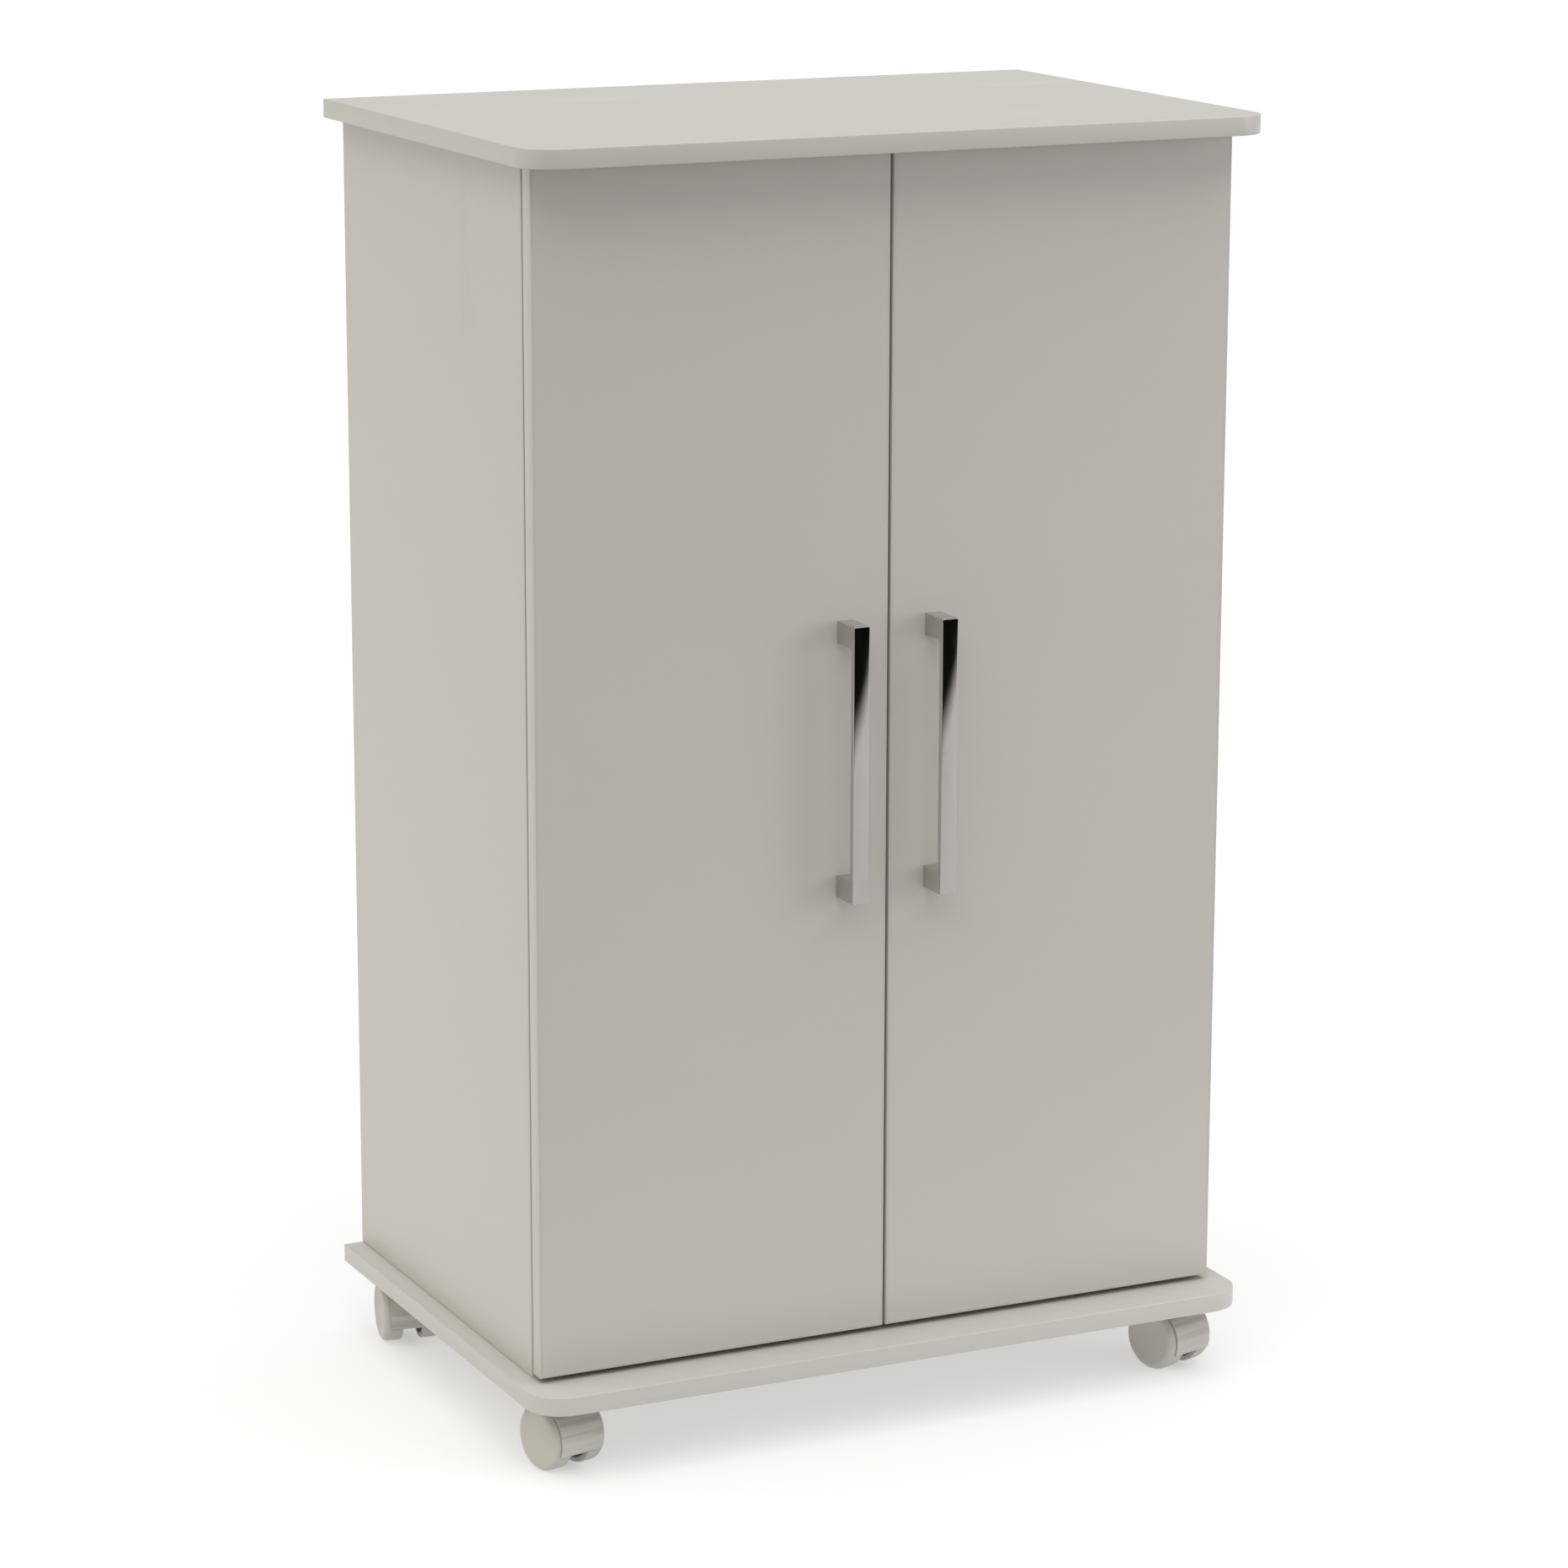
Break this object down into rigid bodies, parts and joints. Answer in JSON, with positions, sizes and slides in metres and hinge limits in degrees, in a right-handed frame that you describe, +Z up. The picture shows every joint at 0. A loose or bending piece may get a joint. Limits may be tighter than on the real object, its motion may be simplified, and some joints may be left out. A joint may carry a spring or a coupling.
{
  "type": "mobile cabinet",
  "caption": "Mobile upright cabinet with hinged overlay doors, chrome bar pulls, inner shelves, overhanging round-cornered top and base boards, and hooded swivel casters.",
  "frame": {"origin": "on the floor, below the middle of the top board", "axes": "+Z up, -Y out of the doors, +X to the right as seen from the front"},
  "size_m": [0.626, 0.423, 1.03],
  "materials": {
    "melamine": "satin warm off-white melamine face on chipboard, edge-banded",
    "hardboard": "painted off-white hardboard",
    "chrome": "polished chrome plate",
    "zinc": "nickel-plated steel",
    "caster_plastic": "moulded off-white plastic, satin",
    "bumper_rubber": "soft translucent white"
  },
  "bodies": {
    "cabinet": {"top_panel": "melamine", "base_panel": "melamine", "side_panel_left": "melamine", "side_panel_right": "melamine", "fixed_shelf": "melamine", "adjustable_shelf": "melamine", "back_panel": "hardboard", "shelf_pin_left_front": "zinc", "shelf_pin_left_back": "zinc", "shelf_pin_right_front": "zinc", "shelf_pin_right_back": "zinc", "left_hinge_plate_upper": "zinc", "left_hinge_arm_upper": "zinc", "left_bumper_upper": "bumper_rubber", "left_hinge_plate_lower": "zinc", "left_hinge_arm_lower": "zinc", "left_bumper_lower": "bumper_rubber", "right_hinge_plate_upper": "zinc", "right_hinge_arm_upper": "zinc", "right_bumper_upper": "bumper_rubber", "right_hinge_plate_lower": "zinc", "right_hinge_arm_lower": "zinc", "right_bumper_lower": "bumper_rubber", "caster_front_left_plate": "zinc", "caster_front_right_plate": "zinc", "caster_back_left_plate": "zinc", "caster_back_right_plate": "zinc"},
    "left_hinge_links": {"left_hinge_link_upper": "zinc", "left_hinge_link_lower": "zinc"},
    "left_door": {"left_door": "melamine", "left_handle": "chrome", "left_handle_screw_upper": "zinc", "left_hinge_cup_upper": "zinc", "left_handle_screw_lower": "zinc", "left_hinge_cup_lower": "zinc"},
    "right_hinge_links": {"right_hinge_link_upper": "zinc", "right_hinge_link_lower": "zinc"},
    "right_door": {"right_door": "melamine", "right_handle": "chrome", "right_handle_screw_upper": "zinc", "right_hinge_cup_upper": "zinc", "right_handle_screw_lower": "zinc", "right_hinge_cup_lower": "zinc"},
    "caster_front_left": {"caster_front_left_hood": "caster_plastic", "caster_front_left_axle": "zinc"},
    "caster_front_left_wheel_left": {"caster_front_left_wheel_left": "caster_plastic"},
    "caster_front_left_wheel_right": {"caster_front_left_wheel_right": "caster_plastic"},
    "caster_front_right": {"caster_front_right_hood": "caster_plastic", "caster_front_right_axle": "zinc"},
    "caster_front_right_wheel_left": {"caster_front_right_wheel_left": "caster_plastic"},
    "caster_front_right_wheel_right": {"caster_front_right_wheel_right": "caster_plastic"},
    "caster_back_left": {"caster_back_left_hood": "caster_plastic", "caster_back_left_axle": "zinc"},
    "caster_back_left_wheel_left": {"caster_back_left_wheel_left": "caster_plastic"},
    "caster_back_left_wheel_right": {"caster_back_left_wheel_right": "caster_plastic"},
    "caster_back_right": {"caster_back_right_hood": "caster_plastic", "caster_back_right_axle": "zinc"},
    "caster_back_right_wheel_left": {"caster_back_right_wheel_left": "caster_plastic"},
    "caster_back_right_wheel_right": {"caster_back_right_wheel_right": "caster_plastic"}
  },
  "joints": [
    {"name": "left_hinge_link_turn", "type": "hinge", "parent": "cabinet", "child": "left_hinge_links", "pos_m": [-0.26585, -0.1664, 0.54475], "axis": [0, 0, 1], "range_deg": [0, 38]},
    {"name": "left_door_swing", "type": "hinge", "parent": "left_hinge_links", "child": "left_door", "pos_m": [-0.28595, -0.16205, 0.54475], "axis": [0, 0, 1], "range_deg": [-133, 0]},
    {"name": "right_hinge_link_turn", "type": "hinge", "parent": "cabinet", "child": "right_hinge_links", "pos_m": [0.26585, -0.1664, 0.54475], "axis": [0, 0, 1], "range_deg": [-38, 0]},
    {"name": "right_door_swing", "type": "hinge", "parent": "right_hinge_links", "child": "right_door", "pos_m": [0.28595, -0.16205, 0.54475], "axis": [0, 0, 1], "range_deg": [0, 133]},
    {"name": "caster_front_left_swivel", "type": "hinge", "parent": "cabinet", "child": "caster_front_left", "pos_m": [-0.278, -0.141, 0.0555], "axis": [0, 0, 1], "continuous": true},
    {"name": "caster_front_left_wheel_left_roll", "type": "hinge", "parent": "caster_front_left", "child": "caster_front_left_wheel_left", "pos_m": [-0.2735, -0.16049, 0.026], "axis": [0.9744, 0.225, 0], "continuous": true},
    {"name": "caster_front_left_wheel_right_roll", "type": "hinge", "parent": "caster_front_left", "child": "caster_front_left_wheel_right", "pos_m": [-0.2735, -0.16049, 0.026], "axis": [0.9744, 0.225, 0], "continuous": true},
    {"name": "caster_front_right_swivel", "type": "hinge", "parent": "cabinet", "child": "caster_front_right", "pos_m": [0.2645, -0.141, 0.0555], "axis": [0, 0, 1], "continuous": true},
    {"name": "caster_front_right_wheel_left_roll", "type": "hinge", "parent": "caster_front_right", "child": "caster_front_right_wheel_left", "pos_m": [0.27068, -0.16002, 0.026], "axis": [0.9511, 0.309, 0], "continuous": true},
    {"name": "caster_front_right_wheel_right_roll", "type": "hinge", "parent": "caster_front_right", "child": "caster_front_right_wheel_right", "pos_m": [0.27068, -0.16002, 0.026], "axis": [0.9511, 0.309, 0], "continuous": true},
    {"name": "caster_back_left_swivel", "type": "hinge", "parent": "cabinet", "child": "caster_back_left", "pos_m": [-0.2715, 0.185, 0.0555], "axis": [0, 0, 1], "continuous": true},
    {"name": "caster_back_left_wheel_left_roll", "type": "hinge", "parent": "caster_back_left", "child": "caster_back_left_wheel_left", "pos_m": [-0.27497, 0.1653, 0.026], "axis": [0.9848, -0.1736, 0], "continuous": true},
    {"name": "caster_back_left_wheel_right_roll", "type": "hinge", "parent": "caster_back_left", "child": "caster_back_left_wheel_right", "pos_m": [-0.27497, 0.1653, 0.026], "axis": [0.9848, -0.1736, 0], "continuous": true},
    {"name": "caster_back_right_swivel", "type": "hinge", "parent": "cabinet", "child": "caster_back_right", "pos_m": [0.2715, 0.185, 0.0555], "axis": [0, 0, 1], "continuous": true},
    {"name": "caster_back_right_wheel_left_roll", "type": "hinge", "parent": "caster_back_right", "child": "caster_back_right_wheel_left", "pos_m": [0.27324, 0.16508, 0.026], "axis": [0.9962, 0.0872, 0], "continuous": true},
    {"name": "caster_back_right_wheel_right_roll", "type": "hinge", "parent": "caster_back_right", "child": "caster_back_right_wheel_right", "pos_m": [0.27324, 0.16508, 0.026], "axis": [0.9962, 0.0872, 0], "continuous": true}
  ],
  "couplings": [
    {"joint": "left_hinge_link_turn", "follows": "left_door_swing", "ratio": -0.28571},
    {"joint": "right_hinge_link_turn", "follows": "right_door_swing", "ratio": -0.28571}
  ]
}
